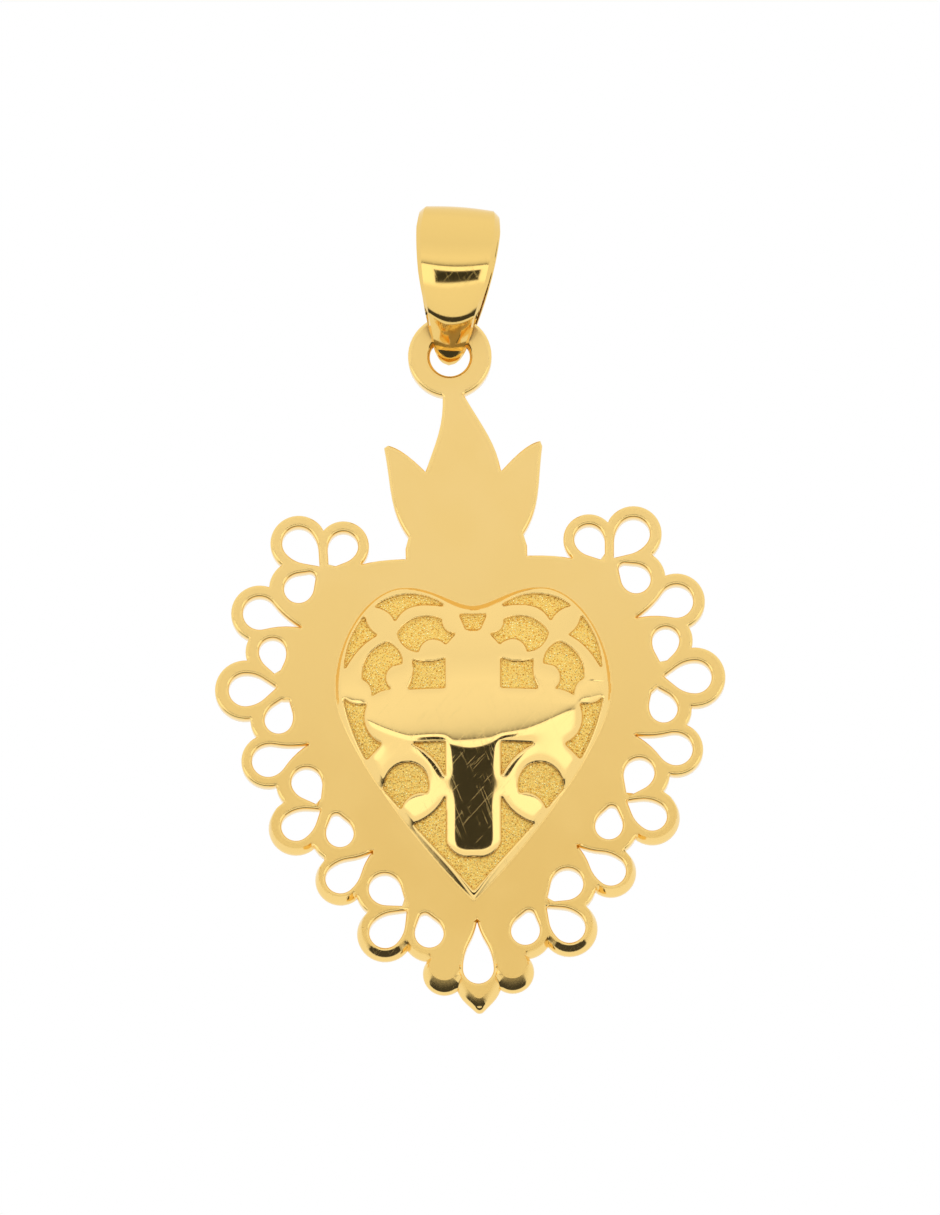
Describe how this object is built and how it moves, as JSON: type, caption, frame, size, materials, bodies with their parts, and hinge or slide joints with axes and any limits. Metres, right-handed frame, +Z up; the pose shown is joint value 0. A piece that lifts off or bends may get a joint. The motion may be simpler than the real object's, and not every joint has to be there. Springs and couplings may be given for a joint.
{
  "type": "heart pendant",
  "caption": "Pierced and stamped gold pendant: a domed heart with a cross and scrolls inside a lace border, a flame above it, and a tapered folded bail through its eyelet",
  "frame": {"origin": "where the chain bears, inside the crown of the bail", "axes": "+Z up as it hangs, face to -Y, +X to the viewer's right; one unit is a metre"},
  "size_m": [0.0255, 0.0052, 0.0411],
  "materials": {
    "plate_gold": "satin plate, polished dome and edges, stippled grounds",
    "bail_gold": "polished"
  },
  "bodies": {
    "bail_body": {"bail": "bail_gold"},
    "plate_body": {"heart_plate": "plate_gold"}
  },
  "joints": [
    {"name": "eyelet_swing", "type": "hinge", "parent": "bail_body", "child": "plate_body", "pos_m": [-0.00056, 0.00115, -0.0054], "axis": [1, 0, 0], "range_deg": [-32, 46]}
  ]
}
